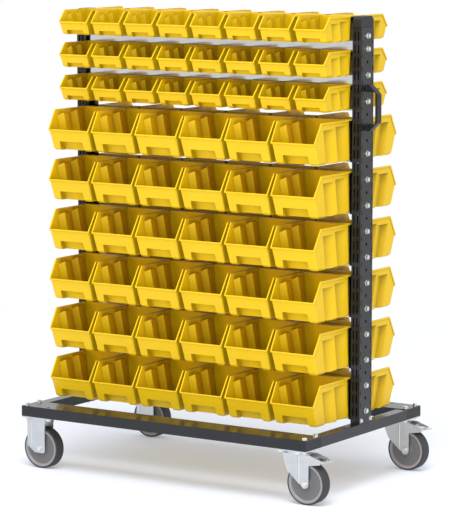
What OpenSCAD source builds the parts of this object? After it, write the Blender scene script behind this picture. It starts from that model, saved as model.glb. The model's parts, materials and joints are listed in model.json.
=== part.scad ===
// Mobile bin cart: a wheeled base frame with two slotted uprights, steel bin rails on both sides,
// small and large hopper bins hooked on the rails, a push handle, two fixed and two braked swivel casters.
// Millimetres. X runs along the cart, towards the handle, Y across it, Z up from the floor.

/* [Base frame] */
// Length of the base along X
base_l = 1016; // [1004:4:1060]
// Depth of the base along Y
base_d = 665; // [640:5:700]
// Height of the base beams
beam_h = 32; // [28:1:40]
// Width of the front and rear beams
side_beam_w = 84; // [84:1:96]
// Width of the two end beams
end_beam_w = 34; // [32:1:44]
// Sheet thickness of the beams
beam_wall = 2.5; // [2:0.5:3]

/* [Uprights] */
// Width of an upright along X
upright_w = 30; // [28:1:34]
// Depth of an upright along Y
upright_d = 70; // [68:1:80]
// Sheet thickness of the uprights
upright_wall = 2.5; // [2:0.5:3]
// Pitch of the holes and slots
hole_pitch = 38; // [38:0.5:40]
// Radius of a centre hole
hole_r = 4.5; // [4.3:0.1:5]

/* [Large bins] */
// Rim width of a large bin
large_bin_w = 149; // [136:1:150]
// Height of a large bin
large_bin_h = 121.5; // [114:0.5:124]
// Depth of a large bin, from its rail to its front rim
large_bin_d = 201.5; // [185:0.5:215]

/* [Small bins] */
// Rim width of a small bin
small_bin_w = 104.5; // [95:0.5:107]
// Height of a small bin
small_bin_h = 74; // [70:0.5:78]
// Depth of a small bin, from its rail to its front rim
small_bin_d = 147; // [138:0.5:160]
// Pitch of the rows of small bins
small_row_pitch = 99.4; // [98:0.2:101]

/* [Bin shells] */
// Wall thickness of the bins
bin_wall = 2.5; // [2:0.1:2.8]
// Draft of the bins' side walls, in degrees
bin_draft = 2; // [1.4:0.1:2.6]

/* [Casters] */
// Diameter of the wheels
wheel_d = 125; // [118:1:128]
// Width of the wheels
wheel_w = 36; // [30:1:36]
// Height of a caster, from the floor to its top plate
caster_h = 161; // [160:1:170]
// Distance from a swivel axis to its axle
trail = 36; // [32:1:40]
// Thickness of the fork sheet
fork_t = 3; // [2:0.5:3]

/* [Handle] */
// Distance from the upright to the inside of the grip
handle_reach = 33; // [30:1:45]
// Thickness of the grip
grip_t = 8; // [7:0.5:12]
// Width of the grip
grip_w = 24; // [20:1:28]

/* [Hidden] */
$fn = 64;
side_signs = [-1, 1];

// Frame levels and places
base_top = caster_h + beam_h;
half_l = base_l/2;
half_d = base_d/2;
clear_half = half_l - upright_w;
end_beam_x = half_l - end_beam_w/2;
end_beam_drop = 1.5;
hole_count = 30;
first_hole = 36;
upright_h = first_hole + (hole_count - 1)*hole_pitch + 25;
upright_mouth = 33;
cap_h = 32;
cap_plug = 12;
fit_gap = 0.5;

// Bolts: radii, hexagon corner radii and heights
bolt_r = 4;
bolt_hex_r = 7.5;
bolt_head = 5.5;
bolt_play = 0.3;
bolt_end = 1.5;
access_r = 5;
washer_t = 1.6;
foot_bolt_r = 3;
foot_bolt_hex_r = 5.6;
foot_bolt_y = upright_d/2 - upright_wall - foot_bolt_hex_r - 0.9;
foot_bolt_z = 10;
foot_plate = 4;
foot_x = half_l - upright_wall - foot_plate - bolt_hex_r - 2;
foot_y = 14;

// Rails: each large row has one trough, the small rows share one louvred panel
rail_wall = 1.5;
rail_end_t = 2;
rail_ear_w = 24;
ear_gap = 4;
hook_face = upright_d/2 - upright_wall - fit_gap;
rail_half_l = half_l - upright_wall;
louvre_reach = 12;
louvre_lip = 12;
lip_t = 3;
hang_gap = 0.4;
rail_skirt = 3;

// Rows of bins
large_rows = 6;
large_per_row = 6;
small_rows = 3;
small_per_row = 8;
large_row_pitch = 4*hole_pitch;
large_first = base_top + 14.2;
large_pitch = 2*clear_half/large_per_row;
small_first = base_top + 24*hole_pitch + 10.9;
small_pitch = 2*clear_half/small_per_row;
panel_top = small_first + (small_rows - 1)*small_row_pitch + small_bin_h - lip_t - hang_gap;
panel_bottom = small_first - rail_skirt;
ear_top = base_top + upright_h - cap_plug - 1;
panel_holes = [0, 1, 3, 5];
first_rail_hole = 7;
handle_holes = [4, 7];
screw_depth = 16;

// Casters
plate_l = 105;
plate_w = 84;
plate_t = 3.5;
plate_root = plate_t/2;
plate_hole_x = 40;
plate_hole_y = 30;
caster_x = half_l - plate_l/2;
caster_y = half_d - side_beam_w/2;
wheel_r = wheel_d/2;
tread_t = 5.5;
hub_r = wheel_r - tread_t;
axle_r = 5;
run_gap = 0.05;
leg_gap = 2;
leg_in = wheel_w/2 + leg_gap;
leg_out = leg_in + fork_t;
crown_z = caster_h - 13;
king_r = 8;
pedal_x = trail + 24;
pedal_drop = 4.25;
pedal_z = (wheel_d + caster_h - plate_t)/2 - pedal_drop;
pedal_half_w = leg_in - 0.6;
pedal_pin_r = 3;
pin_z = pedal_z - 2;
pedal_end = 113;

// The X middle of everything, so that the origin lies under the middle of the cart's box
reach_right = max(caster_x + pedal_end, half_l + handle_reach + grip_t);
reach_left = max(caster_x + wheel_r, half_l + washer_t + bolt_head);
middle_x = (reach_right - reach_left)/2;

function hole_z(k) = base_top + first_hole + (hole_count - 1 - k)*hole_pitch;
function large_z(i) = large_first + i*large_row_pitch;
function small_z(i) = small_first + i*small_row_pitch;
function rail_holes(i) = [for (k = [0, 2]) first_rail_hole + 4*(large_rows - 1 - i) + k];
function ear_holes(i) = [for (k = [-1:2]) first_rail_hole + 4*(large_rows - 1 - i) + k];

// Extrusions of flat outlines: a side outline (Y, Z) along X, a front outline (X, Z) along Y
module along_x(length) {
  rotate([90, 0, 90]) linear_extrude(length, center = true) children();
}

module along_y(length) {
  rotate([90, 0, 0]) linear_extrude(length, center = true) children();
}

// A box centred on X and Y, standing on Z = 0
module slab(l, d, h) {
  translate([-l/2, -d/2, 0]) cube([l, d, h]);
}

// A hexagon bolt pointing down -Z from its seat at Z = 0, with a washer under the head
// and a nut of the same size behind the clamped stack
module bolt(shank_r, hex_r, head, stack) {
  cylinder(r = hex_r + 1, h = washer_t);
  translate([0, 0, washer_t]) cylinder(r = hex_r, h = head, $fn = 6);
  translate([0, 0, -stack - head - bolt_end]) cylinder(r = shank_r, h = stack + head + bolt_end);
  translate([0, 0, -stack - head]) cylinder(r = hex_r, h = head, $fn = 6);
}

// Base frame

// A hollow beam along X with the bolt holes of its two casters
module side_beam() {
  difference() {
    translate([0, 0, caster_h]) slab(base_l, side_beam_w, beam_h);
    translate([0, 0, caster_h + beam_wall]) {
      slab(base_l + 2, side_beam_w - 2*beam_wall, beam_h - 2*beam_wall);
    }
    for (end = side_signs, bx = side_signs, by = side_signs) {
      translate([end*(caster_x + bx*plate_hole_x), by*plate_hole_y, caster_h - 1]) {
        cylinder(r = bolt_r + bolt_play, h = beam_wall + 2);
      }
      translate([end*(caster_x + bx*plate_hole_x), by*plate_hole_y, base_top - beam_wall - 1]) {
        cylinder(r = bx > 0 ? bolt_r + bolt_play : access_r, h = beam_wall + 2);
      }
    }
  }
}

module base_beam_front() {
  color("#3b3c3e") translate([0, -caster_y, 0]) side_beam();
}

module base_beam_rear() {
  color("#3b3c3e") translate([0, caster_y, 0]) side_beam();
}

// A hollow beam along Y, welded between the side beams, with the foot bracket's bolt hole
module end_beam() {
  length = base_d - 2*side_beam_w;
  height = beam_h - end_beam_drop;
  difference() {
    translate([0, 0, caster_h]) slab(end_beam_w, length, height);
    translate([0, 0, caster_h + beam_wall]) {
      slab(end_beam_w - 2*beam_wall, length + 2, height - 2*beam_wall);
    }
    for (side = side_signs) {
      translate([foot_x - end_beam_x, side*foot_y, caster_h - 1]) {
        cylinder(r = bolt_r + bolt_play, h = beam_h + 2);
      }
    }
  }
}

module base_beam_left() {
  color("#3b3c3e") rotate([0, 0, 180]) translate([end_beam_x, 0, 0]) end_beam();
}

module base_beam_right() {
  color("#3b3c3e") translate([end_beam_x, 0, 0]) end_beam();
}

// Plugs that close the open ends of the side beams
module beam_end_caps() {
  depth = 8;
  color("#303133") for (end = side_signs, side = side_signs) {
    translate([end*(half_l - depth/2), side*caster_y, caster_h + beam_wall]) {
      slab(depth, side_beam_w - 2*beam_wall, beam_h - 2*beam_wall);
    }
  }
}

// Uprights

// A lipped channel that opens towards the middle: centre holes and edge slots in its web,
// two columns of long slots in each flange
module upright() {
  slot_w = 4;
  slot_h = 26;
  slot_x = 6;
  edge_slot_w = 3;
  edge_slot_h = 14;
  edge_land = 2.5;
  edge_slot_y = upright_d/2 - upright_wall - edge_slot_w/2 - edge_land;
  flange_mid = half_l - upright_w/2 - 1;
  difference() {
    translate([half_l - upright_w/2, 0, base_top]) slab(upright_w, upright_d, upright_h);
    translate([half_l - upright_w/2, 0, base_top - 1]) {
      slab(upright_w - 2*upright_wall, upright_d - 2*upright_wall, upright_h + 2);
      translate([-upright_w/2, 0, 0]) slab(upright_w, upright_mouth, upright_h + 2);
    }
    for (k = [0:hole_count - 1]) {
      translate([half_l - upright_wall - 1, 0, hole_z(k)]) {
        rotate([0, 90, 0]) cylinder(r = hole_r, h = upright_wall + 2);
      }
      for (column = side_signs) {
        translate([flange_mid + column*slot_x, 0, hole_z(k) - slot_h/2]) {
          slab(slot_w, upright_d + 2, slot_h);
        }
      }
    }
    for (k = [0:hole_count - 2], side = side_signs) {
      translate([half_l, side*edge_slot_y, hole_z(k) - hole_pitch/2 - edge_slot_h/2]) {
        slab(2*upright_wall + 2, edge_slot_w, edge_slot_h);
      }
    }
    for (side = side_signs) {
      translate([half_l - upright_wall - 1, side*foot_bolt_y, base_top + foot_bolt_z]) {
        rotate([0, 90, 0]) cylinder(r = foot_bolt_r + bolt_play, h = upright_wall + 2);
      }
    }
  }
}

module upright_left() {
  color("#464648") rotate([0, 0, 180]) upright();
}

module upright_right() {
  color("#464648") upright();
}

// Caps with a sloped outer edge and a plug that sits in the channel
module upright_caps() {
  slope = 9;
  crown = [
    [-upright_d/2, 0], [upright_d/2, 0], [upright_d/2, cap_h - slope], [upright_d/2 - slope, cap_h],
    [slope - upright_d/2, cap_h], [-upright_d/2, cap_h - slope],
  ];
  color("#2c2d2f") for (end = [0, 180]) rotate([0, 0, end]) {
    translate([half_l - upright_w/2, 0, base_top + upright_h]) {
      along_x(upright_w) polygon(crown);
      translate([0, 0, -cap_plug]) {
        slab(upright_w - 2*upright_wall, upright_d - 2*upright_wall, cap_plug);
      }
    }
  }
}

// Foot brackets: a base plate between each end beam and its upright, with two ears inside the channel
module foot_brackets() {
  ear_w = 14;
  ear_h = 20;
  ear_root = end_beam_drop/2;
  inner_x = half_l - upright_wall;
  inner_half = upright_d/2 - upright_wall - fit_gap;
  color("#2c2d2f") for (end = [0, 180]) rotate([0, 0, end]) difference() {
    union() {
      for (side = side_signs) {
        translate([inner_x - foot_plate/2, side*(inner_half - ear_w/2), base_top - ear_root]) {
          slab(foot_plate, ear_w, ear_h + ear_root);
        }
      }
      translate([half_l - upright_w/2, 0, base_top - end_beam_drop]) {
        slab(upright_w - 1, upright_d - 1, end_beam_drop);
      }
    }
    for (side = side_signs) {
      translate([inner_x - foot_plate - 1, side*foot_bolt_y, base_top + foot_bolt_z]) {
        rotate([0, 90, 0]) cylinder(r = foot_bolt_r + bolt_play, h = foot_plate + 2);
      }
      translate([foot_x, side*foot_y, base_top - end_beam_drop - 1]) {
        cylinder(r = bolt_r + bolt_play, h = end_beam_drop + 2);
      }
    }
  }
}

// Bolts of the foot brackets: two through each web, two down through each end beam
module foot_bolts() {
  foot_head = 3;
  color("#c9c9c6") for (end = [0, 180]) rotate([0, 0, end]) for (side = side_signs) {
    translate([half_l, side*foot_bolt_y, base_top + foot_bolt_z]) {
      rotate([0, 90, 0]) bolt(foot_bolt_r, foot_bolt_hex_r, foot_head, upright_wall + foot_plate);
    }
    translate([foot_x, side*foot_y, base_top]) bolt(bolt_r, bolt_hex_r, bolt_head, beam_h);
  }
}

// Rails

// A hole through a rail's end plates at upright hole k
module rail_hole(k) {
  translate([0, 0, hole_z(k)]) rotate([0, 90, 0]) cylinder(r = hole_r, h = base_l, center = true);
}

// A trough between the uprights: the bins' hooks drop behind its two top edges,
// and a tall narrow ear at each end stands in the upright's channel
module large_rail(i) {
  bottom = large_z(i) - rail_skirt;
  height = large_bin_h + rail_skirt - lip_t - hang_gap;
  trough_l = 2*clear_half - 2*fit_gap;
  ear_h = large_row_pitch - ear_gap;
  ear_l = rail_half_l - clear_half;
  color("#b9bcbc") difference() {
    translate([0, 0, bottom]) {
      slab(trough_l, 2*hook_face, height);
      slab(2*rail_half_l, rail_ear_w, height);
      for (end = side_signs) translate([end*(rail_half_l - ear_l/2), 0, 0]) slab(ear_l, rail_ear_w, ear_h);
    }
    translate([0, 0, bottom + rail_wall]) {
      slab(trough_l - 2*rail_end_t, 2*(hook_face - rail_wall), height);
      slab(2*rail_half_l - 2*rail_end_t, rail_ear_w - 2*rail_wall, ear_h);
    }
    for (k = ear_holes(i)) rail_hole(k);
  }
}

module large_rail_1() { large_rail(5); }
module large_rail_2() { large_rail(4); }
module large_rail_3() { large_rail(3); }
module large_rail_4() { large_rail(2); }
module large_rail_5() { large_rail(1); }
module large_rail_6() { large_rail(0); }

// One louvre of the small panel, on the rear side
module louvre(i) {
  edge_z = small_z(i) + small_bin_h - lip_t - hang_gap;
  ledge_z = edge_z - louvre_lip;
  length = 2*clear_half - 2;
  translate([0, hook_face - louvre_reach/2, ledge_z]) slab(length, louvre_reach, rail_wall);
  translate([0, hook_face - rail_wall/2, ledge_z]) slab(length, rail_wall, louvre_lip);
}

// A hollow panel behind the small bins, with a louvre on each side for every row,
// and ears that stand in the uprights' channels
module small_bin_panel() {
  half_t = hook_face - louvre_reach;
  color("#b9bcbc") difference() {
    union() {
      translate([0, 0, panel_bottom]) slab(2*clear_half - 1, 2*half_t, panel_top - panel_bottom);
      translate([0, 0, panel_bottom]) slab(2*rail_half_l, rail_ear_w, ear_top - panel_bottom);
      for (i = [0:small_rows - 1], end = [0, 180]) rotate([0, 0, end]) louvre(i);
    }
    translate([0, 0, panel_bottom + rail_wall]) {
      slab(2*clear_half - 2*rail_end_t, 2*(half_t - rail_wall), panel_top - panel_bottom);
      slab(2*rail_half_l - 2*rail_end_t, rail_ear_w - 2*rail_wall, ear_top - panel_bottom);
    }
    for (k = [0:first_rail_hole - 2]) rail_hole(k);
  }
}

// Bolts that hold the rails and the panel to the uprights, apart from the one the handle shares
module rail_bolts() {
  holes = concat(panel_holes, [for (i = [0:large_rows - 1], k = rail_holes(i)) k]);
  color("#c9c9c6") for (end = [0, 180], k = holes) {
    if (end == 180 || len(search(k, handle_holes)) == 0) rotate([0, 0, end]) {
      translate([half_l, 0, hole_z(k)]) {
        rotate([0, 90, 0]) bolt(bolt_r, bolt_hex_r, bolt_head, upright_wall + rail_end_t);
      }
    }
  }
}

// Handle

// Bow handle with sloped shoulders on two foot flanges, over a pair of upright holes
module push_handle() {
  foot_h = 20;
  flange_w = 62;
  flange_t = 3;
  shoulder = 26;
  inner = 4;
  low = hole_z(handle_holes[1]) - foot_h/2;
  high = hole_z(handle_holes[0]) + foot_h/2;
  out = handle_reach + grip_t;
  outline = [
    [0, low], [out - shoulder, low], [out, low + shoulder], [out, high - shoulder], [out - shoulder, high],
    [0, high], [0, high - foot_h], [handle_reach - inner, high - foot_h],
    [handle_reach, high - foot_h - inner], [handle_reach, low + foot_h + inner],
    [handle_reach - inner, low + foot_h], [0, low + foot_h],
  ];
  color("#1d1d1f") translate([half_l, 0, 0]) difference() {
    union() {
      along_y(grip_w) polygon(outline);
      for (k = handle_holes) {
        translate([flange_t/2, 0, hole_z(k) - foot_h/2]) slab(flange_t, flange_w, foot_h);
      }
    }
    for (k = handle_holes) {
      translate([-1, 0, hole_z(k)]) {
        rotate([0, 90, 0]) cylinder(r = bolt_r + bolt_play, h = screw_depth + 3);
      }
    }
  }
}

// Screws from inside the channel into the handle's feet; they also hold the panel and the top rail
module handle_screws() {
  back = upright_wall + rail_end_t;
  color("#8d8f90") for (k = handle_holes) {
    translate([half_l - back, 0, hole_z(k)]) rotate([0, -90, 0]) {
      cylinder(r = bolt_hex_r, h = bolt_head, $fn = 6);
      translate([0, 0, -back - screw_depth]) cylinder(r = bolt_r, h = back + screw_depth);
    }
  }
}

// Casters

// The mounting bolts: the outer pair of each caster runs through the beam, the inner pair sits inside it
module caster_bolts() {
  color("#c9c9c6") for (end = side_signs, side = side_signs, by = side_signs) {
    translate([end*(caster_x + plate_hole_x), side*caster_y + by*plate_hole_y, base_top]) {
      bolt(bolt_r, bolt_hex_r, bolt_head, beam_h + plate_t);
    }
    translate([end*(caster_x - plate_hole_x), side*caster_y + by*plate_hole_y, caster_h + beam_wall]) {
      bolt(bolt_r, bolt_hex_r, bolt_head, beam_wall + plate_t);
    }
  }
}

// A caster's top plate, under the beam, with its four holes
module top_plate() {
  difference() {
    translate([0, 0, caster_h - plate_t]) slab(plate_l, plate_w, plate_t);
    for (bx = side_signs, by = side_signs) {
      translate([bx*plate_hole_x, by*plate_hole_y, caster_h - plate_t - 1]) {
        cylinder(r = bolt_r + bolt_play, h = plate_t + 2);
      }
    }
  }
}

// A hub with a boss, a dished web and a rim ring, turned about Y
module hub() {
  half = wheel_w/2;
  boss_gap = 0.5;
  boss_r = 13;
  flare = 2;
  dish_r = 22;
  dish = 4;
  rim_w = 6;
  rim_slope = 3;
  near = [
    [axle_r + run_gap, leg_in - boss_gap], [boss_r, leg_in - boss_gap], [boss_r + flare, half - flare],
    [dish_r, half - dish], [hub_r - rim_w - rim_slope, half - dish], [hub_r - rim_w, half - boss_gap],
    [hub_r, half - boss_gap],
  ];
  far = [for (k = [len(near) - 1:-1:0]) [near[k][0], -near[k][1]]];
  rotate([90, 0, 0]) rotate_extrude() polygon(concat(near, far));
}

// A tread ring with round shoulders
module tyre() {
  half = wheel_w/2;
  round_r = 3.5;
  rotate([90, 0, 0]) rotate_extrude() difference() {
    translate([hub_r, -half]) square([tread_t, wheel_w]);
    for (side = side_signs) {
      difference() {
        translate([wheel_r - round_r, side*half - (side > 0 ? round_r : 0)]) square(round_r + 1);
        translate([wheel_r - round_r, side*(half - round_r)]) circle(r = round_r);
      }
    }
  }
}

// An axle bolt through both fork legs
module axle() {
  head = 4;
  rotate([90, 0, 0]) {
    cylinder(r = axle_r, h = 2*leg_out + 2*head, center = true);
    for (side = side_signs) {
      translate([0, 0, side*(leg_out + head/2)]) cylinder(r = bolt_hex_r, h = head, center = true, $fn = 6);
    }
  }
}

// The two legs of a fork from one side outline, with the axle hole at axle_x
// and a pressed bead down each leg at bead_x
module fork_legs(axle_x, bead_x, bead_low) {
  bead_r = 4;
  bead_out = 1.2;
  leg_span = 400;
  difference() {
    union() {
      intersection() {
        for (side = side_signs) {
          translate([0, side*(leg_in + fork_t/2), 0]) slab(leg_span, fork_t, caster_h);
        }
        along_y(leg_span) children();
      }
      for (side = side_signs) intersection() {
        translate([bead_x, side*(leg_out + bead_out - bead_r), bead_low]) {
          cylinder(r = bead_r, h = crown_z - bead_low - 4);
        }
        translate([bead_x, side*(leg_out + fork_t/2 - 1), 0]) slab(20, fork_t, caster_h);
      }
    }
    translate([axle_x, 0, wheel_r]) {
      rotate([90, 0, 0]) cylinder(r = axle_r + 2*run_gap, h = leg_span, center = true);
    }
  }
}

// Fixed casters

// Side outline of a fixed fork's leg: broad at the plate, cut off slantwise at the foot
module fixed_leg_outline() {
  top = caster_h - plate_t;
  root = top + plate_root;
  back = 46;
  front = 19;
  flare = 6;
  flare_h = 22;
  foot = 14;
  heel = 28;
  heel_h = 20;
  toe = 5;
  polygon([
    [-back - flare, root], [-back - flare, top], [-back, top - flare_h], [-back, wheel_r - foot + heel_h],
    [heel - back, wheel_r - foot], [front - toe, wheel_r - foot], [front, wheel_r - foot + toe],
    [front, top - flare_h], [front + flare, top], [front + flare, root],
  ]);
}

module fixed_fork() {
  bead_x = -32;
  top_plate();
  fork_legs(0, bead_x, wheel_r + axle_r) fixed_leg_outline();
}

module fixed_fork_front() {
  color("#c5cacb") translate([-caster_x, -caster_y, 0]) fixed_fork();
}

module fixed_fork_rear() {
  color("#c5cacb") translate([-caster_x, caster_y, 0]) fixed_fork();
}

module fixed_axle_front() {
  color("#c9c9c6") translate([-caster_x, -caster_y, wheel_r]) axle();
}

module fixed_axle_rear() {
  color("#c9c9c6") translate([-caster_x, caster_y, wheel_r]) axle();
}

module fixed_hub_front() {
  color("#7d7a7b") translate([-caster_x, -caster_y, wheel_r]) hub();
}

module fixed_hub_rear() {
  color("#7d7a7b") translate([-caster_x, caster_y, wheel_r]) hub();
}

module fixed_tyre_front() {
  color("#3f3f40") translate([-caster_x, -caster_y, wheel_r]) tyre();
}

module fixed_tyre_rear() {
  color("#3f3f40") translate([-caster_x, caster_y, wheel_r]) tyre();
}

// Swivel casters

// A top plate with an upper race and a king pin that carries the fork's crown
module swivel_plate() {
  race_r = 34;
  race_gap = 0.6;
  race_h = caster_h - plate_t - crown_z - race_gap;
  foot_t = 4;
  foot_r = king_r + 5;
  foot_top = crown_z - fork_t - race_gap;
  top_plate();
  translate([0, 0, caster_h - plate_t - race_h]) cylinder(r = race_r, h = race_h + plate_root);
  translate([0, 0, foot_top - foot_t]) {
    cylinder(r = king_r, h = caster_h - plate_t + plate_root - foot_top + foot_t);
    cylinder(r = foot_r, h = foot_t);
  }
}

// Side outline of a swivel fork's leg: it sweeps back to the axle
// and holds out a short arm for the brake
module swivel_leg_outline() {
  foot_r = 13;
  back = 38;
  knee = 16;
  knee_h = 52;
  ankle = 20;
  neck = 16;
  arm_x = trail + 58;
  arm_h = 14;
  arm_slope = 8;
  difference() {
    union() {
      polygon([
        [-back, crown_z], [knee/4 - back, crown_z - knee_h/2], [knee - back, crown_z - knee_h],
        [trail - ankle, wheel_r], [trail - foot_r/2, wheel_r - foot_r/2], [trail + foot_r, wheel_r],
        [trail + foot_r, pedal_z - ankle], [arm_x - arm_slope, pedal_z - arm_h], [arm_x, pedal_z - 3],
        [trail + neck, crown_z],
      ]);
      translate([trail, wheel_r]) circle(r = foot_r);
    }
    translate([pedal_x, pin_z]) circle(r = pedal_pin_r + run_gap);
  }
}

module swivel_fork() {
  crown_r = 40;
  bead_back = 21;
  difference() {
    union() {
      fork_legs(trail, trail - bead_back, wheel_r + axle_r) swivel_leg_outline();
      translate([0, 0, crown_z - fork_t]) intersection() {
        cylinder(r = crown_r, h = fork_t);
        slab(2*crown_r, 2*leg_out, fork_t);
      }
    }
    cylinder(r = king_r + run_gap, h = caster_h);
  }
}

// A brake pedal between the fork's arms: a sloped tread plate with a turned-down toe edge,
// a narrow release tab and a pin that turns in the arms
module brake_pedal() {
  plate = 3;
  rise = 5;
  fall = 3;
  toe_h = 9;
  tab_w = 18;
  tab_rise = 2;
  boss_wall = 2.5;
  start_x = trail + 10;
  edge_x = trail + 54;
  edge_z = pedal_z - fall;
  tread = [
    [start_x, pedal_z + rise], [edge_x, edge_z], [edge_x, edge_z - toe_h], [edge_x - plate, edge_z - toe_h],
    [edge_x - plate, edge_z - plate], [start_x, pedal_z + rise - plate],
  ];
  tab = [
    [edge_x - 1, edge_z - 1], [pedal_end, edge_z - 1 + tab_rise], [pedal_end, edge_z - 1 + tab_rise - plate],
    [edge_x - 1, edge_z - 1 - plate],
  ];
  along_y(2*pedal_half_w) polygon(tread);
  along_y(tab_w) polygon(tab);
  translate([pedal_x, 0, pin_z]) rotate([90, 0, 0]) {
    cylinder(r = pedal_pin_r, h = 2*leg_out + 1, center = true);
    cylinder(r = pedal_pin_r + boss_wall, h = 2*pedal_half_w, center = true);
  }
}

module at_swivel(side) {
  translate([caster_x, side*caster_y, 0]) children();
}

module at_swivel_axle(side) {
  translate([caster_x + trail, side*caster_y, wheel_r]) children();
}

module swivel_plate_front() { color("#c5cacb") at_swivel(-1) swivel_plate(); }
module swivel_plate_rear() { color("#c5cacb") at_swivel(1) swivel_plate(); }
module swivel_fork_front() { color("#c5cacb") at_swivel(-1) swivel_fork(); }
module swivel_fork_rear() { color("#c5cacb") at_swivel(1) swivel_fork(); }
module swivel_axle_front() { color("#c9c9c6") at_swivel_axle(-1) axle(); }
module swivel_axle_rear() { color("#c9c9c6") at_swivel_axle(1) axle(); }
module swivel_hub_front() { color("#7d7a7b") at_swivel_axle(-1) hub(); }
module swivel_hub_rear() { color("#7d7a7b") at_swivel_axle(1) hub(); }
module swivel_tyre_front() { color("#3f3f40") at_swivel_axle(-1) tyre(); }
module swivel_tyre_rear() { color("#3f3f40") at_swivel_axle(1) tyre(); }
module brake_pedal_front() { color("#b4b2aa") at_swivel(-1) brake_pedal(); }
module brake_pedal_rear() { color("#b4b2aa") at_swivel(1) brake_pedal(); }

// Bins

// A hopper bin, hung on the rear side: Y = 0 is its rail's outer face and Z = 0 its bottom.
// Its shell is the outer body less the cavity, both cut from side outlines (Y, Z) and front
// outlines (X, Z). Each of the wedges pressed into the side walls, given by the Y and Z of its
// front top corner, stands inside as a rib.
module bin(w, h, d, rim_h, setback, front_lean, back_gap, back_lean, hook_reach, hook_drop,
           wedges, wedge_depth, pocket_w, pocket_h) {
  bead = 1.5;
  bead_h = 5;
  corner = 6;
  bevel = rim_h/8;
  wedge_lean = 9;
  wedge_draft = 9;
  wedge_ramp = 10;
  pocket_depth = 8;
  pocket_slope = 4;
  drop = h - rim_h;
  mouth_l = sqrt(setback*setback + drop*drop);
  front_foot = d - bead - front_lean;
  over = 5;

  function half_w(z, inset) = w/2 - inset + (z - rim_h)*tan(bin_draft);
  function back_y(z) = back_gap + back_lean*z/h;
  function front_y(z) = front_foot + front_lean*z/rim_h;
  function mouth_y(z) = d - (z - rim_h)*setback/drop - bead_h*mouth_l/drop;

  module both_sides() {
    children();
    mirror([1, 0, 0]) children();
  }

  module across(inset, floor_z) {
    along_y(4*d) both_sides() polygon([
      [0, floor_z], [half_w(floor_z, inset) - corner, floor_z],
      [half_w(floor_z + corner, inset), floor_z + corner], [half_w(h + over, inset), h + over], [0, h + over],
    ]);
  }

  module body_side() {
    polygon([
      [back_y(0), 0], [front_foot - corner, 0], [front_y(corner), corner],
      [front_y(rim_h - bead_h), rim_h - bead_h], [d, rim_h - bead_h + 1], [d, rim_h],
      [d - setback, h], [back_y(h), h],
    ]);
  }

  module cavity_side() {
    t = bin_wall;
    polygon([
      [back_y(t) + t, t], [front_y(t) - t - corner, t], [front_y(t + corner) - t, t + corner],
      [front_y(rim_h) - t, rim_h], [d + over, rim_h], [d + over, h + over],
      [back_y(h + over) + t, h + over],
    ]);
  }

  module bead_side() {
    polygon([
      [d, rim_h], [d - setback, h], [back_y(h), h], [back_y(h), h - bead_h],
      [mouth_y(h - bead_h), h - bead_h], [mouth_y(rim_h), rim_h],
      [front_y(rim_h - bead_h), rim_h - bead_h], [d, rim_h - bead_h + 1],
    ]);
  }

  // Wedges in both side walls, deepest at their front edges and running out towards the rail
  module pressed_wedges(grow) {
    both_sides() for (corner_yz = wedges) {
      translate([half_w(corner_yz[1], bead) - wedge_depth, corner_yz[0], corner_yz[1]]) {
        rotate([-wedge_lean, wedge_draft, wedge_ramp]) {
          translate([-grow, grow - d, grow - 2*h]) cube([w, d, 2*h]);
        }
      }
    }
  }

  // Bevels down the two front corners
  module front_bevels(grow) {
    both_sides() translate([half_w(0, bead), front_foot, 0]) {
      rotate([-atan(front_lean/rim_h), bin_draft, 0]) rotate([0, 0, 45]) {
        translate([-bevel*sqrt(0.5) - grow, -w/2, -h]) cube([w, w, 3*h]);
      }
    }
  }

  module pocket(grow) {
    top = pocket_h + grow;
    intersection() {
      along_x(w) polygon([
        [front_y(-over) - pocket_depth - grow, -over], [d + over, -over], [d + over, top],
        [front_y(top) - pocket_depth - grow, top],
      ]);
      along_y(4*d) polygon([
        [-pocket_w/2 - grow - pocket_slope, -over], [pocket_w/2 + grow + pocket_slope, -over],
        [pocket_w/2 + grow, top], [-pocket_w/2 - grow, top],
      ]);
    }
  }

  module hook() {
    root = back_y(h) + bin_wall/2;
    along_x(2*half_w(h, bead)) polygon([
      [root, h], [-hook_reach, h], [-hook_reach, h - hook_drop], [lip_t - hook_reach, h - hook_drop],
      [lip_t - hook_reach, h - lip_t], [root, h - lip_t],
    ]);
  }

  difference() {
    union() {
      difference() {
        intersection() {
          along_x(2*w) body_side();
          across(bead, 0);
        }
        pressed_wedges(0);
        front_bevels(0);
      }
      intersection() {
        along_x(2*w) bead_side();
        across(0, 0);
      }
      hook();
    }
    difference() {
      intersection() {
        along_x(2*w) cavity_side();
        across(bead + bin_wall, bin_wall);
      }
      pressed_wedges(bin_wall);
      front_bevels(bin_wall);
      pocket(bin_wall);
    }
    pocket(0);
  }
}

module large_bin() {
  d = large_bin_d;
  h = large_bin_h;
  drop = 57.5;
  bin(w = large_bin_w, h = h, d = d, rim_h = h - drop, setback = 35, front_lean = 23, back_gap = 3,
      back_lean = 11.5, hook_reach = 5.5, hook_drop = 18, wedges = [[d - 52, h - 21.5], [d - 119, h - 15.5]],
      wedge_depth = 4, pocket_w = large_bin_w*0.58, pocket_h = 27);
}

module small_bin() {
  d = small_bin_d;
  h = small_bin_h;
  drop = 34;
  bin(w = small_bin_w, h = h, d = d, rim_h = h - drop, setback = 29, front_lean = 15, back_gap = 4,
      back_lean = -2, hook_reach = 10, hook_drop = 8, wedges = [[d - 42.5, h - 19.5], [d - 89.5, h - 15.5]],
      wedge_depth = 2.6, pocket_w = small_bin_w*0.58, pocket_h = 13.5);
}

// A row of bins on one side: side is 0 at the rear and 180 at the front
module large_bins(side, i) {
  color("#f5c518") rotate([0, 0, side]) for (j = [0:large_per_row - 1]) {
    translate([(j - (large_per_row - 1)/2)*large_pitch, hook_face, large_z(i)]) large_bin();
  }
}

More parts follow.
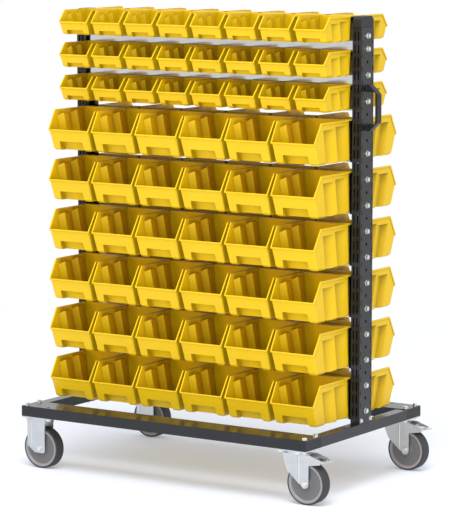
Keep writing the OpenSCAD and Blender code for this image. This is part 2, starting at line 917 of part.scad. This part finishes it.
module small_bins(side, i) {
  color("#f5c518") rotate([0, 0, side]) for (j = [0:small_per_row - 1]) {
    translate([(j - (small_per_row - 1)/2)*small_pitch, hook_face, small_z(i)]) small_bin();
  }
}

module small_bins_front_1() { small_bins(180, 2); }
module small_bins_front_2() { small_bins(180, 1); }
module small_bins_front_3() { small_bins(180, 0); }
module small_bins_rear_1() { small_bins(0, 2); }
module small_bins_rear_2() { small_bins(0, 1); }
module small_bins_rear_3() { small_bins(0, 0); }
module large_bins_front_1() { large_bins(180, 5); }
module large_bins_front_2() { large_bins(180, 4); }
module large_bins_front_3() { large_bins(180, 3); }
module large_bins_front_4() { large_bins(180, 2); }
module large_bins_front_5() { large_bins(180, 1); }
module large_bins_front_6() { large_bins(180, 0); }
module large_bins_rear_1() { large_bins(0, 5); }
module large_bins_rear_2() { large_bins(0, 4); }
module large_bins_rear_3() { large_bins(0, 3); }
module large_bins_rear_4() { large_bins(0, 2); }
module large_bins_rear_5() { large_bins(0, 1); }
module large_bins_rear_6() { large_bins(0, 0); }

// The whole cart is drawn about the middle of its base and then moved to its origin
module place() {
  translate([-middle_x, 0, 0]) children();
}

place() base_beam_front();
place() base_beam_rear();
place() base_beam_left();
place() base_beam_right();
place() beam_end_caps();
place() upright_left();
place() upright_right();
place() upright_caps();
place() foot_brackets();
place() foot_bolts();
place() small_bin_panel();
place() large_rail_1();
place() large_rail_2();
place() large_rail_3();
place() large_rail_4();
place() large_rail_5();
place() large_rail_6();
place() rail_bolts();
place() push_handle();
place() handle_screws();
place() caster_bolts();
place() fixed_fork_front();
place() fixed_axle_front();
place() fixed_hub_front();
place() fixed_tyre_front();
place() fixed_fork_rear();
place() fixed_axle_rear();
place() fixed_hub_rear();
place() fixed_tyre_rear();
place() swivel_plate_front();
place() swivel_fork_front();
place() swivel_axle_front();
place() swivel_hub_front();
place() swivel_tyre_front();
place() brake_pedal_front();
place() swivel_plate_rear();
place() swivel_fork_rear();
place() swivel_axle_rear();
place() swivel_hub_rear();
place() swivel_tyre_rear();
place() brake_pedal_rear();
place() small_bins_front_1();
place() small_bins_front_2();
place() small_bins_front_3();
place() small_bins_rear_1();
place() small_bins_rear_2();
place() small_bins_rear_3();
place() large_bins_front_1();
place() large_bins_front_2();
place() large_bins_front_3();
place() large_bins_front_4();
place() large_bins_front_5();
place() large_bins_front_6();
place() large_bins_rear_1();
place() large_bins_rear_2();
place() large_bins_rear_3();
place() large_bins_rear_4();
place() large_bins_rear_5();
place() large_bins_rear_6();
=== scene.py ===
"""Looks of the mobile bin cart: materials, bin shells, softened edges, light and camera on its frame."""
import json
import math

import bmesh
import bpy
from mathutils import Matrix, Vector

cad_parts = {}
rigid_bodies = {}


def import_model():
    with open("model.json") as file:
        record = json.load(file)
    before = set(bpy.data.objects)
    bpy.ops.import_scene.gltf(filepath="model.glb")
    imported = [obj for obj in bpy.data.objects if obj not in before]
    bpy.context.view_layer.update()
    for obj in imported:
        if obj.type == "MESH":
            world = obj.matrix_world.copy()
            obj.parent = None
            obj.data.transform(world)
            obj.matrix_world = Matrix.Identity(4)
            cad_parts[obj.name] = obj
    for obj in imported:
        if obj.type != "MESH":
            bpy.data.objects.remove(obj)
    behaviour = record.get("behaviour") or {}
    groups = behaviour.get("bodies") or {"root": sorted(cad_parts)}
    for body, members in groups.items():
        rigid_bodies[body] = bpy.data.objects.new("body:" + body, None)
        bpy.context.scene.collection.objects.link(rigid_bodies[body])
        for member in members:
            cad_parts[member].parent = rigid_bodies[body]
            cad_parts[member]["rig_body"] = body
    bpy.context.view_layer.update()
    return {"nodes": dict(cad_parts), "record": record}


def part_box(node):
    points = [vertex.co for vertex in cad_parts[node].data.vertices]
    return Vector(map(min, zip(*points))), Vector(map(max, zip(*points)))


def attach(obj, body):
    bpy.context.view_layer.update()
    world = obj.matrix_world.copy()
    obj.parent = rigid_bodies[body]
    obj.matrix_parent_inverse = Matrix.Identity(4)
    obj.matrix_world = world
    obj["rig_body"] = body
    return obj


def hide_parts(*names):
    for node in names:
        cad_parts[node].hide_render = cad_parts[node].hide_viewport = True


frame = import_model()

NODES = frame["nodes"]
SLOTS = {part["node"]: part["material_slot"] for part in frame["record"]["subparts"]}

# Camera, as fitted to the photograph
IMAGE_HEIGHT = 512
FOCAL_PIXELS = 2800.5
SENSOR_HEIGHT = 24.0
CAMERA_PLACE = Vector((4.586, -7.013, 1.761))
CAMERA_DIRECTION = Vector((-0.54275, 0.82961, -0.13104))

# Light
LIGHT_TARGET = Vector((0.0, 0.0, 0.7))
LIGHTS = {
    "key": {"place": Vector((1.6, -2.7, 5.9)), "size": 3.0, "power": 215.0},
    "fill": {"place": Vector((2.6, -6.2, 1.5)), "size": 3.0, "power": 120.0},
}
AMBIENT = 0.78

# Floor: shaded near the cart, plain white far from it
FLOOR_HALF = 90.0
FLOOR_COLOUR = (0.765, 0.81, 0.925, 1.0)
FLOOR_LIFT = 0.22
SHADE_START = 1.3
SHADE_END = 3.4

# Grain of the surfaces, in cells to the metre, and its depth
FINE_GRAIN = 700.0
GRAIN_DEPTH = 0.0002

# How far the painted shade inside a bin, and in a finger pocket, looks for corners
INSIDE_SHADE_REACH = 0.12
POCKET_SHADE_REACH = 0.04
SHADE_SAMPLES = 6

# Length at each end of the sheets coloured dark as painted shade, and the width of its soft edge
END_SHADE_LENGTH = 0.036
END_SHADE_EDGE = 0.0005

# Radius of the rounded edges, by material slot, and the least angle that counts as an edge
EDGE_RADIUS = {
    "cap_plastic": 0.002,
    "handle_plastic": 0.002,
}
EDGE_SEGMENTS = 2
EDGE_ANGLE = 0.5
WELD_REACH = 0.00002

# Bins, in millimetres: thin shells whose pressed wedges and finger pocket are as deep as moulded ones are
MM = 0.001
WALL = 2.5
DRAFT = math.tan(math.radians(2.0))
WEDGE_LEAN = math.tan(math.radians(13.0))
# The bead round the mouth: how far it stands out at the sides and at the front, its height,
# and the height of the step under it
BEAD = 1.5
LIP_BEAD = 0.6
BEAD_H = 5.0
BEAD_STEP = 1.0
# The bevel along the floor, the thickness of the hook and the radius of all edges
CORNER = 6.0
LIP = 3.0
SHELL_EDGE = 0.8
# How far a cutting shape runs past what it cuts
OVER = 5.0

# The mouth slopes down by drop over the length of setback. The front leans out by lean from foot to rim.
# The foot of the back wall stands off the rail's face by back, and its top by back_lean more.
# The hook reaches over the rail by hook_reach, and hangs down behind it by hook_drop.
# Each wedge has the distance of its step from the front, and of its top from the top of the bin.
# Its step takes up wedge_step of the side and its tail wedge_run, and its top rises inwards by wedge_rise.
# The pocket has its depth at its foot and at its top.
LARGE_BIN = {
    "count": 6, "width": 149.0, "height": 121.5, "depth": 201.5,
    "drop": 57.5, "setback": 35.0, "lean": 23.0, "bevel": 3.0,
    "back": 3.0, "back_lean": 11.5, "hook_reach": 5.5, "hook_drop": 18.0,
    "wedges": ((46.0, 21.5), (113.0, 15.5)),
    "wedge_depth": 16.0, "wedge_step": 12.0, "wedge_run": 52.0, "wedge_rise": 8.0,
    "pocket_w": 84.0, "pocket_h": 27.0, "pocket_depth": (26.0, 16.0), "pocket_flare": 3.0,
}
SMALL_BIN = {
    "count": 8, "width": 104.5, "height": 74.0, "depth": 147.0,
    "drop": 34.0, "setback": 29.0, "lean": 15.0, "bevel": 2.5,
    "back": 4.0, "back_lean": -2.0, "hook_reach": 10.0, "hook_drop": 8.0,
    "wedges": ((38.5, 19.5), (85.5, 15.5)),
    "wedge_depth": 10.5, "wedge_step": 9.0, "wedge_run": 36.0, "wedge_rise": 6.0,
    "pocket_w": 59.0, "pocket_h": 14.0, "pocket_depth": (20.0, 13.0), "pocket_flare": 2.0,
}


# Node helpers
def empty_tree(owner):
    """The cleared node tree of a material or a world."""
    owner.use_nodes = True
    owner.node_tree.nodes.clear()
    return owner.node_tree


def new_material(name):
    """A material with its node tree, its Principled shader and object coordinates."""
    material = bpy.data.materials.new(name)
    tree = empty_tree(material)
    output = tree.nodes.new("ShaderNodeOutputMaterial")
    surface = tree.nodes.new("ShaderNodeBsdfPrincipled")
    tree.links.new(surface.outputs["BSDF"], output.inputs["Surface"])
    coords = tree.nodes.new("ShaderNodeTexCoord").outputs["Object"]
    return material, tree, surface, coords


def noise(tree, coords, scale, detail=3.0, roughness=0.55):
    """A noise pattern with the given number of cells to the metre."""
    node = tree.nodes.new("ShaderNodeTexNoise")
    node.inputs["Scale"].default_value = scale
    node.inputs["Detail"].default_value = detail
    node.inputs["Roughness"].default_value = roughness
    tree.links.new(coords, node.inputs["Vector"])
    return node.outputs["Fac"]


def stretched(tree, coords, scale):
    """Coordinates scaled by a different number on each axis."""
    node = tree.nodes.new("ShaderNodeMapping")
    node.inputs["Scale"].default_value = scale
    tree.links.new(coords, node.inputs["Vector"])
    return node.outputs["Vector"]


def vector_math(tree, operation, coords, other=None):
    """The node of an operation on coordinates, and on a fixed vector where it takes two."""
    node = tree.nodes.new("ShaderNodeVectorMath")
    node.operation = operation
    tree.links.new(coords, node.inputs[0])
    if other is not None:
        node.inputs[1].default_value = other
    return node


def spread(tree, value, low, high, start=0.3, end=0.7):
    """A value between start and end, spread over low to high."""
    node = tree.nodes.new("ShaderNodeMapRange")
    node.inputs["From Min"].default_value = start
    node.inputs["From Max"].default_value = end
    node.inputs["To Min"].default_value = low
    node.inputs["To Max"].default_value = high
    tree.links.new(value, node.inputs["Value"])
    return node.outputs["Result"]


def mixed(tree, factor, first, second):
    """A colour between two colours, by a factor."""
    # Places of the colour sockets among the node's inputs and outputs
    first_colour, second_colour, colour_result = 6, 7, 2
    node = tree.nodes.new("ShaderNodeMix")
    node.data_type = "RGBA"
    tree.links.new(factor, node.inputs["Factor"])
    for index, value in ((first_colour, first), (second_colour, second)):
        if isinstance(value, bpy.types.NodeSocket):
            tree.links.new(value, node.inputs[index])
        else:
            node.inputs[index].default_value = (*value, 1.0)
    return node.outputs[colour_result]


def bump(tree, surface, height, strength=0.4):
    """A relief as deep as the grain on a surface."""
    node = tree.nodes.new("ShaderNodeBump")
    node.inputs["Strength"].default_value = strength
    node.inputs["Distance"].default_value = GRAIN_DEPTH
    tree.links.new(height, node.inputs["Height"])
    tree.links.new(node.outputs["Normal"], surface.inputs["Normal"])


def corners(tree, reach):
    """How open a surface lies, used for painted shade: 1 on a free face, less in a corner of its own piece
    within the reach.
    """
    node = tree.nodes.new("ShaderNodeAmbientOcclusion")
    node.only_local = True
    node.samples = SHADE_SAMPLES
    node.inputs["Distance"].default_value = reach
    return node.outputs["AO"]


# Materials
def coat(name, light, dark, rough, metallic=0.0, patch=9.0, grain=FINE_GRAIN, gloss=0.5):
    """A surface whose colour drifts between two tones in patches, with a fine grain in gloss and relief."""
    material, tree, surface, coords = new_material(name)
    surface.inputs["Metallic"].default_value = metallic
    surface.inputs["Specular IOR Level"].default_value = gloss
    patches = spread(tree, noise(tree, coords, patch), 0.0, 1.0)
    fine = noise(tree, coords, grain, detail=2.0)
    tree.links.new(mixed(tree, patches, dark, light), surface.inputs["Base Color"])
    tree.links.new(spread(tree, fine, *rough), surface.inputs["Roughness"])
    bump(tree, surface, fine)
    return material


def zinc_sheet():
    """Rolled zinc-plated sheet: clouds of tone, fine marks along its length, and painted shade, dark, at its
    ends.
    """
    dull, fair, end_shade_tone = (0.56, 0.57, 0.58), (0.64, 0.65, 0.655), (0.012, 0.012, 0.013)
    marks, cloud_cells = (4.0, 240.0, 240.0), 16.0
    rough, relief = (0.07, 0.15), 0.12
    material, tree, surface, coords = new_material("zinc_sheet")
    surface.inputs["Metallic"].default_value = 0.95
    low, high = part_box("small_bin_panel")
    offset = vector_math(tree, "SUBTRACT", coords, (low + high) / 2)
    distance = vector_math(tree, "ABSOLUTE", offset.outputs["Vector"])
    axes = tree.nodes.new("ShaderNodeSeparateXYZ")
    tree.links.new(distance.outputs["Vector"], axes.inputs["Vector"])
    # Painted shade: the ends of the sheets are coloured dark where the gap by the uprights lies in shade
    end_shade_from = (high.x - low.x) / 2 - END_SHADE_LENGTH
    end_shade_share = spread(tree, axes.outputs["X"], 0.0, 1.0, end_shade_from, end_shade_from + END_SHADE_EDGE)
    rolled = noise(tree, stretched(tree, coords, marks), 1.0)
    clouds = spread(tree, noise(tree, coords, cloud_cells), 0.0, 1.0)
    plated = mixed(tree, clouds, dull, fair)
    tree.links.new(mixed(tree, end_shade_share, plated, end_shade_tone), surface.inputs["Base Color"])
    tree.links.new(spread(tree, rolled, *rough), surface.inputs["Roughness"])
    bump(tree, surface, rolled, relief)
    return material


def bin_plastic():
    """Moulded yellow plastic: slight drift of tone, a fine grain, and painted shade: deeper tones inside and
    in pockets.
    """
    tones, patch, rough = ((0.91, 0.575, 0.007), (0.94, 0.605, 0.01)), 14.0, (0.34, 0.44)
    # Painted shade: tones darker inside a bin and in its finger pocket, by how closed in a face lies
    inside_shade_tone, inside_shade_span = (0.6, 0.425, 0.003), (0.25, 0.85)
    pocket_shade_tone, pocket_shade_span = (0.4, 0.24, 0.002), (0.55, 0.97)
    material, tree, surface, coords = new_material("bin_plastic")
    surface.inputs["Specular IOR Level"].default_value = 0.25
    inside_unshaded_share = spread(tree, corners(tree, INSIDE_SHADE_REACH), 0.0, 1.0, *inside_shade_span)
    pocket_unshaded_share = spread(tree, corners(tree, POCKET_SHADE_REACH), 0.0, 1.0, *pocket_shade_span)
    patches = spread(tree, noise(tree, coords, patch), 0.0, 1.0)
    face = mixed(tree, patches, *tones)
    outer = mixed(tree, pocket_unshaded_share, pocket_shade_tone, face)
    tree.links.new(mixed(tree, inside_unshaded_share, inside_shade_tone, outer), surface.inputs["Base Color"])
    fine = noise(tree, coords, FINE_GRAIN, detail=2.0)
    tree.links.new(spread(tree, fine, *rough), surface.inputs["Roughness"])
    bump(tree, surface, fine)
    return material


def hub_plastic(name, axle):
    """Grey moulded plastic, paler away from the axle, with a pale ring near the rim."""
    axle_r, ring_inner, ring_outer, ring_blend = 0.01, 0.0475, 0.0575, 0.002
    inner_grey, outer_grey, ring_grey = (0.118, 0.113, 0.113), (0.158, 0.15, 0.151), (0.3, 0.29, 0.293)
    grain, rough, relief = 500.0, (0.38, 0.5), 0.25
    across_axle = (1.0, 0.0, 1.0)
    material, tree, surface, coords = new_material(name)
    offset = vector_math(tree, "SUBTRACT", coords, axle)
    flat = stretched(tree, offset.outputs["Vector"], across_axle)
    radius = vector_math(tree, "LENGTH", flat).outputs["Value"]
    ring = spread(tree, radius, 0.0, 1.0, ring_inner, ring_inner + ring_blend)
    away = spread(tree, radius, 0.0, 1.0, axle_r, ring_outer)
    grey = mixed(tree, away, inner_grey, outer_grey)
    tree.links.new(mixed(tree, ring, grey, ring_grey), surface.inputs["Base Color"])
    fine = noise(tree, coords, grain)
    tree.links.new(spread(tree, fine, *rough), surface.inputs["Roughness"])
    bump(tree, surface, fine, relief)
    return material


def all_materials():
    """One material for each slot of the record but the hubs', and a brighter one for the pedals."""
    charcoal = ((0.018, 0.018, 0.0195), (0.014, 0.014, 0.0155))
    cap_black = ((0.016, 0.016, 0.017), (0.012, 0.012, 0.013))
    handle_black = ((0.007, 0.007, 0.008), (0.005, 0.005, 0.006))
    plated = ((0.78, 0.78, 0.76), (0.66, 0.66, 0.64))
    pressed = ((0.6, 0.615, 0.62), (0.53, 0.545, 0.55))
    bright = ((0.62, 0.62, 0.61), (0.55, 0.55, 0.54))
    tread = ((0.046, 0.046, 0.047), (0.038, 0.038, 0.039))
    return {
        "bin_plastic": bin_plastic(),
        "dark_paint": coat("dark_paint", *charcoal, (0.14, 0.22), grain=420.0, gloss=0.35),
        "cap_plastic": coat("cap_plastic", *cap_black, (0.42, 0.55), gloss=0.4),
        "handle_plastic": coat("handle_plastic", *handle_black, (0.34, 0.46), gloss=0.4),
        "zinc_sheet": zinc_sheet(),
        "zinc_fasteners": coat("zinc_fasteners", *plated, (0.22, 0.34), metallic=1.0, patch=60.0),
        "zinc_fork": coat("zinc_fork", *pressed, (0.3, 0.42), metallic=1.0, patch=30.0, grain=300.0),
        "zinc_pedal": coat("zinc_pedal", *bright, (0.08, 0.14), metallic=1.0, patch=30.0, grain=300.0),
        "tread_rubber": coat("tread_rubber", *tread, (0.55, 0.7), patch=40.0, gloss=0.4),
    }


def dress_nodes():
    """Gives every node the material of its slot; a hub's material knows where its axle is."""
    materials = all_materials()
    for name, node in NODES.items():
        if SLOTS[name] == "hub_plastic":
            low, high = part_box(name)
            material = hub_plastic("hub_plastic_" + name, (low + high) / 2)
        elif name.startswith("brake_pedal"):
            material = materials["zinc_pedal"]
        else:
            material = materials[SLOTS[name]]
        node.data.materials.clear()
        node.data.materials.append(material)


# Solids
def solid(*lofts):
    """Closed solids, each between two loops of as many points."""
    shape = bmesh.new()
    for low, high in lofts:
        below = [shape.verts.new(point) for point in low]
        above = [shape.verts.new(point) for point in high]
        shape.faces.new(below)
        shape.faces.new(above)
        for i in range(len(below)):
            shape.faces.new((below[i - 1], below[i], above[i], above[i - 1]))
    bmesh.ops.recalc_face_normals(shape, faces=shape.faces)
    mesh = bpy.data.meshes.new("solid")
    shape.to_mesh(mesh)
    shape.free()
    made = bpy.data.objects.new("solid", mesh)
    bpy.context.scene.collection.objects.link(made)
    return made


def both_sides(low, high):
    """A loft on the right, and its mirror image on the left."""
    return (low, high), ([(-x, y, z) for x, y, z in low], [(-x, y, z) for x, y, z in high])


def apply_modifiers(body):
    """Makes what the modifiers show into the body's own mesh."""
    graph = bpy.context.evaluated_depsgraph_get()
    mesh = bpy.data.meshes.new_from_object(body.evaluated_get(graph))
    body.modifiers.clear()
    body.data = mesh


def combine(body, tool, operation):
    """The body with the tool cut from it, joined to it, or kept in common with it."""
    cut = body.modifiers.new("cut", "BOOLEAN")
    cut.operation = operation
    cut.solver = "EXACT"
    cut.object = tool
    apply_modifiers(body)
    bpy.data.objects.remove(tool)
    return body


def bevel_edges(body, width):
    """A modifier that rounds the body's sharp edges."""
    edges = body.modifiers.new("edges", "BEVEL")
    edges.width = width
    edges.segments = EDGE_SEGMENTS
    edges.limit_method = "ANGLE"
    edges.angle_limit = EDGE_ANGLE
    return edges


# Bins
def bin_shell(form):
    """One bin, the face of its rail in the plane y = 0 and its front towards +y."""
    width, height, depth = form["width"], form["height"], form["depth"]
    rim = height - form["drop"]
    foot = depth - LIP_BEAD - form["lean"]
    slope = math.hypot(form["setback"], form["drop"])
    bead_foot = rim - BEAD_H

    def half_w(z, inset):
        return width / 2 - inset + (z - rim) * DRAFT

    def back_y(z):
        return form["back"] + form["back_lean"] * z / height

    def front_y(z):
        return foot + form["lean"] * z / rim

    def mouth_y(z):
        return depth - (z - rim) * form["setback"] / form["drop"] - BEAD_H * slope / form["drop"]

    def along_x(outline, half):
        """A side outline, drawn out across the bin."""
        return solid(([(-half, y, z) for y, z in outline], [(half, y, z) for y, z in outline]))

    def across(inset, floor):
        """The drafted front outline, drawn out from front to back."""
        right = [
            (half_w(floor, inset) - CORNER, floor),
            (half_w(floor + CORNER, inset), floor + CORNER),
            (half_w(height + OVER, inset), height + OVER),
        ]
        outline = right + [(-x, z) for x, z in reversed(right)]
        return solid(([(x, -2 * depth, z) for x, z in outline], [(x, 2 * depth, z) for x, z in outline]))

    def wedge(from_front, from_top, grow):
        """Three-sided, deepest and highest behind the step at its front, and running out towards the rail."""
        top = height - from_top
        inward = form["wedge_depth"]
        beyond = width / 4
        reach = 1 + beyond / inward
        ways = Vector((inward, form["wedge_step"])), Vector((inward, -form["wedge_run"]))
        out_front = Vector((-ways[0].y, ways[0].x)).normalized()
        out_back = Vector((ways[1].y, -ways[1].x)).normalized()
        outward = grow * (out_front + out_back) / (1 + out_front.dot(out_back))

        def tip(z):
            step = Vector((half_w(z, BEAD), depth - from_front - (top - z) * WEDGE_LEAN))
            return step - ways[0] + outward

        def loop(z, rise):
            high, sunk = z + rise, z + rise - rise * reach
            return [(*tip(high), high), *((*(tip(sunk) + way * reach), sunk) for way in ways)]

        return solid(*both_sides(loop(-2 * OVER, 0), loop(top + grow, form["wedge_rise"])))

    def bevels(grow):
        """What the bevels of the two front corners take away."""
        cut = form["bevel"] + grow * math.sqrt(2)
        loops = []
        for z in (-OVER, bead_foot - BEAD_STEP):
            x, y = half_w(z, BEAD), front_y(z)
            loops.append([
                (x - cut - OVER, y + OVER, z), (x + OVER, y - cut - OVER, z), (x + 2 * cut, y + 2 * cut, z),
            ])
        return solid(*both_sides(*loops))

    def pocket(grow):
        """The finger pocket under the front, wider and deeper at the foot."""
        loops = []
        levels = (-OVER, form["pocket_h"] + grow)
        for z, inward, flare in zip(levels, form["pocket_depth"], (form["pocket_flare"], 0)):
            half = form["pocket_w"] / 2 + grow + flare
            inner, outer = front_y(z) - inward - grow, depth + OVER
            loops.append([(-half, inner, z), (half, inner, z), (half, outer, z), (-half, outer, z)])
        return solid(loops)

    body = combine(along_x([
        (back_y(0), 0), (foot - CORNER, 0), (front_y(CORNER), CORNER),
        (front_y(bead_foot), bead_foot), (depth, bead_foot + BEAD_STEP), (depth, rim),
        (depth - form["setback"], height), (back_y(height), height),
    ], 2 * width), across(BEAD, 0), "INTERSECT")
    bead = combine(along_x([
        (depth, rim), (depth - form["setback"], height), (back_y(height), height),
        (back_y(height), height - BEAD_H), (mouth_y(height - BEAD_H), height - BEAD_H),
        (mouth_y(rim), rim), (front_y(bead_foot), bead_foot), (depth, bead_foot + BEAD_STEP),
    ], 2 * width), across(0, 0), "INTERSECT")
    root = back_y(height) + WALL / 2
    hook_end, hook_foot = -form["hook_reach"], height - form["hook_drop"]
    hook = along_x([
        (root, height), (hook_end, height), (hook_end, hook_foot), (hook_end + LIP, hook_foot),
        (hook_end + LIP, height - LIP), (root, height - LIP),
    ], half_w(height, BEAD))
    cavity = combine(along_x([
        (back_y(WALL) + WALL, WALL), (front_y(WALL) - WALL - CORNER, WALL),
        (front_y(WALL + CORNER) - WALL, WALL + CORNER), (front_y(rim) - WALL, rim), (depth + OVER, rim),
        (depth + OVER, height + OVER), (back_y(height + OVER) + WALL, height + OVER),
    ], 2 * width), across(BEAD + WALL, WALL), "INTERSECT")
    for place in form["wedges"]:
        combine(body, wedge(*place, 0), "DIFFERENCE")
        combine(cavity, wedge(*place, WALL), "DIFFERENCE")
    combine(body, bevels(0), "DIFFERENCE")
    combine(cavity, bevels(WALL), "DIFFERENCE")
    combine(cavity, pocket(WALL), "DIFFERENCE")
    combine(body, bead, "UNION")
    combine(body, hook, "UNION")
    combine(body, cavity, "DIFFERENCE")
    combine(body, pocket(0), "DIFFERENCE")
    return body


def row_mesh(name, form, width):
    """A row of bins as wide as the CAD row, with softened edges, in metres."""
    shell = bin_shell(form)
    bevel_edges(shell, SHELL_EDGE)
    apply_modifiers(shell)
    xs = [vertex.co.x for vertex in shell.data.vertices]
    pitch = (width / MM - max(xs) + min(xs)) / (form["count"] - 1)
    row = bmesh.new()
    for j in range(form["count"]):
        first = len(row.verts)
        row.from_mesh(shell.data)
        row.verts.ensure_lookup_table()
        for vertex in row.verts[first:]:
            vertex.co.x += (j - (form["count"] - 1) / 2) * pitch
            vertex.co *= MM
    mesh = bpy.data.meshes.new(name)
    row.to_mesh(mesh)
    row.free()
    bpy.data.objects.remove(shell)
    return mesh


def make_bin_rows():
    """Puts a row of shells in the place of each CAD row of bins."""
    meshes = {}
    for name, node in NODES.items():
        if "_bins_" not in name:
            continue
        kind = name.split("_bins_")[0]
        form = LARGE_BIN if kind == "large" else SMALL_BIN
        low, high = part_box(name)
        if kind not in meshes:
            meshes[kind] = row_mesh(kind + "_bin_row", form, high.x - low.x)
            meshes[kind].materials.append(node.data.materials[0])
        row = bpy.data.objects.new(name + "_shells", meshes[kind])
        bpy.context.scene.collection.objects.link(row)
        reach = form["hook_reach"] * MM
        if "_front_" in name:
            row.rotation_euler = (0.0, 0.0, math.pi)
            row.location = ((low.x + high.x) / 2, high.y - reach, low.z)
        else:
            row.location = ((low.x + high.x) / 2, low.y + reach, low.z)
        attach(row, node["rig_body"])
        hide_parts(name)


# Edges
def soften_edges():
    """Rounds the edges of the moulded caps and of the handle."""
    for name, node in NODES.items():
        if SLOTS[name] not in EDGE_RADIUS:
            continue
        node.data.attributes.remove(node.data.attributes["custom_normal"])
        for polygon in node.data.polygons:
            polygon.use_smooth = False
        weld = node.modifiers.new("weld", "WELD")
        weld.merge_threshold = WELD_REACH
        edges = bevel_edges(node, EDGE_RADIUS[SLOTS[name]])
        edges.use_clamp_overlap = False


# Stage
def seen_factor(tree):
    """1 for camera, glossy and transmission rays, 0 for the rays that light things."""
    path = tree.nodes.new("ShaderNodeLightPath")
    total = path.outputs["Is Camera Ray"]
    for name in ("Is Glossy Ray", "Is Transmission Ray"):
        add = tree.nodes.new("ShaderNodeMath")
        add.operation = "ADD"
        add.use_clamp = True
        tree.links.new(total, add.inputs[0])
        tree.links.new(path.outputs[name], add.inputs[1])
        total = add.outputs["Value"]
    return total


def mixed_shader(tree, factor, first, second):
    """A shader between two shaders, by a factor."""
    node = tree.nodes.new("ShaderNodeMixShader")
    tree.links.new(factor, node.inputs["Fac"])
    tree.links.new(first, node.inputs[1])
    tree.links.new(second, node.inputs[2])
    return node.outputs["Shader"]


def glow(tree, strength):
    """A white emission."""
    node = tree.nodes.new("ShaderNodeEmission")
    node.inputs["Strength"].default_value = strength
    return node.outputs["Emission"]


def floor_material():
    """White for the camera far from the cart, and a shaded pale floor round it."""
    material = bpy.data.materials.new("floor")
    tree = empty_tree(material)
    output = tree.nodes.new("ShaderNodeOutputMaterial")
    pale = tree.nodes.new("ShaderNodeBsdfDiffuse")
    pale.inputs["Color"].default_value = FLOOR_COLOUR
    lifted = tree.nodes.new("ShaderNodeAddShader")
    tree.links.new(pale.outputs["BSDF"], lifted.inputs[0])
    tree.links.new(glow(tree, FLOOR_LIFT), lifted.inputs[1])
    coords = tree.nodes.new("ShaderNodeTexCoord").outputs["Object"]
    distance = vector_math(tree, "LENGTH", coords).outputs["Value"]
    away = spread(tree, distance, 0.0, 1.0, SHADE_START, SHADE_END)
    fade = mixed_shader(tree, away, lifted.outputs["Shader"], glow(tree, 1.0))
    seen = mixed_shader(tree, seen_factor(tree), pale.outputs["BSDF"], fade)
    tree.links.new(seen, output.inputs["Surface"])
    return material


def make_floor():
    """A wide flat floor under the wheels."""
    mesh = bpy.data.meshes.new("floor")
    outline = [(x * FLOOR_HALF, y * FLOOR_HALF, 0.0) for x, y in ((-1, -1), (1, -1), (1, 1), (-1, 1))]
    mesh.from_pydata(outline, [], [(0, 1, 2, 3)])
    floor = bpy.data.objects.new("floor", mesh)
    floor.data.materials.append(floor_material())
    bpy.context.scene.collection.objects.link(floor)


def make_world():
    """White for what sees it, and a softer white for what it lights."""
    world = bpy.data.worlds.new("studio")
    bpy.context.scene.world = world
    tree = empty_tree(world)
    output = tree.nodes.new("ShaderNodeOutputWorld")
    background = tree.nodes.new("ShaderNodeBackground")
    background.inputs["Color"].default_value = (1.0, 1.0, 1.0, 1.0)
    tree.links.new(spread(tree, seen_factor(tree), AMBIENT, 1.0, 0.0, 1.0), background.inputs["Strength"])
    tree.links.new(background.outputs["Background"], output.inputs["Surface"])


def make_lights():
    """Square soft lamps that face the cart."""
    for name, lamp in LIGHTS.items():
        light = bpy.data.lights.new(name, "AREA")
        light.energy = lamp["power"]
        light.size = lamp["size"]
        made = bpy.data.objects.new(name, light)
        made.location = lamp["place"]
        made.rotation_euler = (LIGHT_TARGET - lamp["place"]).to_track_quat("-Z", "Y").to_euler()
        bpy.context.scene.collection.objects.link(made)


def make_camera():
    """The camera at the photograph's place and angle."""
    data = bpy.data.cameras.new("camera")
    data.sensor_fit = "VERTICAL"
    data.sensor_height = SENSOR_HEIGHT
    data.lens = FOCAL_PIXELS * SENSOR_HEIGHT / IMAGE_HEIGHT
    data.clip_end = 4 * FLOOR_HALF
    camera = bpy.data.objects.new("camera", data)
    camera.location = CAMERA_PLACE
    camera.rotation_euler = CAMERA_DIRECTION.to_track_quat("-Z", "Y").to_euler()
    bpy.context.scene.collection.objects.link(camera)
    bpy.context.scene.camera = camera


make_camera()
dress_nodes()
soften_edges()
make_bin_rows()
make_floor()
make_world()
make_lights()
bpy.context.scene.view_settings.view_transform = "Standard"
